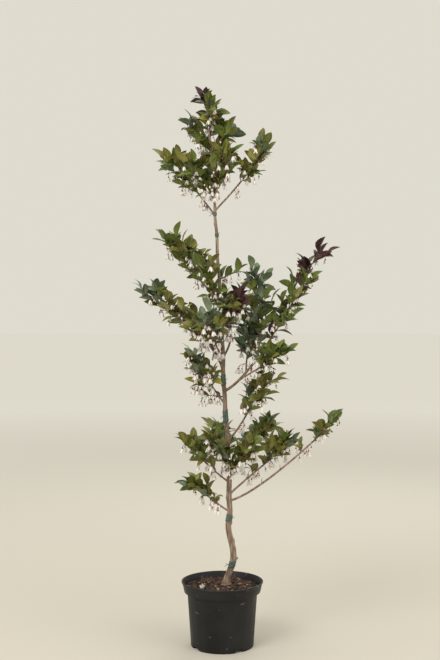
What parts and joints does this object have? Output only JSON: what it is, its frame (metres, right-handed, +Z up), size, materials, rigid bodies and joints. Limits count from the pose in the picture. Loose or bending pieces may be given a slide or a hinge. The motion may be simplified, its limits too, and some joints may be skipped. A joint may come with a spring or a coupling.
{
  "type": "japanese snowbell tree in a nursery pot",
  "caption": "Young Japanese snowbell with one slim trunk, tiers of leafy boughs and hanging white bell flowers, in a round black nursery pot.",
  "frame": {"origin": "centre of the pot's flat underside", "axes": "+Z up along the trunk, +X to the right in the front view, -Y towards the viewer of the front view"},
  "size_m": [0.7148, 0.5288, 1.9219],
  "materials": {
    "pot_plastic": "satin",
    "soil": "matte",
    "bark": "matte",
    "foliage": "satin",
    "blossom": "matte",
    "tie": "matte"
  },
  "bodies": {
    "root": {"bough_back_high": "bark", "bough_back_low": "bark", "bough_back_mid": "bark", "bough_front_left_mid": "bark", "bough_front_mid": "bark", "bough_left_flowered": "bark", "bough_left_inner": "bark", "bough_left_long": "bark", "bough_left_lower": "bark", "bough_left_upper": "bark", "bough_low_left": "bark", "bough_low_right": "bark", "bough_right_fork": "bark", "bough_right_high": "bark", "bough_right_inner": "bark", "bough_right_low_inner": "bark", "bough_right_lower": "bark", "bough_right_mid": "bark", "bough_right_upright": "bark", "bough_top_back": "bark", "bough_top_left": "bark", "bough_top_right": "bark", "foliage_back_high": "foliage", "foliage_back_low": "foliage", "foliage_back_mid": "foliage", "foliage_front_left_mid": "foliage", "foliage_front_mid": "foliage", "foliage_leader_back": "foliage", "foliage_leader_front": "foliage", "foliage_leader_left": "foliage", "foliage_leader_right": "foliage", "foliage_leader_tip": "foliage", "foliage_left_flowered": "foliage", "foliage_left_inner": "foliage", "foliage_left_long": "foliage", "foliage_left_lower": "foliage", "foliage_left_twig": "foliage", "foliage_left_upper": "foliage", "foliage_left_upper_inner": "foliage", "foliage_low_centre_left": "foliage", "foliage_low_centre_right": "foliage", "foliage_low_left": "foliage", "foliage_low_right": "foliage", "foliage_right_fork": "foliage", "foliage_right_high": "foliage", "foliage_right_inner": "foliage", "foliage_right_low_inner": "foliage", "foliage_right_lower": "foliage", "foliage_right_mid": "foliage", "foliage_right_twig": "foliage", "foliage_right_upright": "foliage", "foliage_top_back": "foliage", "foliage_top_front": "foliage", "foliage_top_left": "foliage", "foliage_top_left_front": "foliage", "foliage_top_right": "foliage", "pot": "pot_plastic", "soil": "soil", "trunk": "bark"}
  },
  "joints": []
}
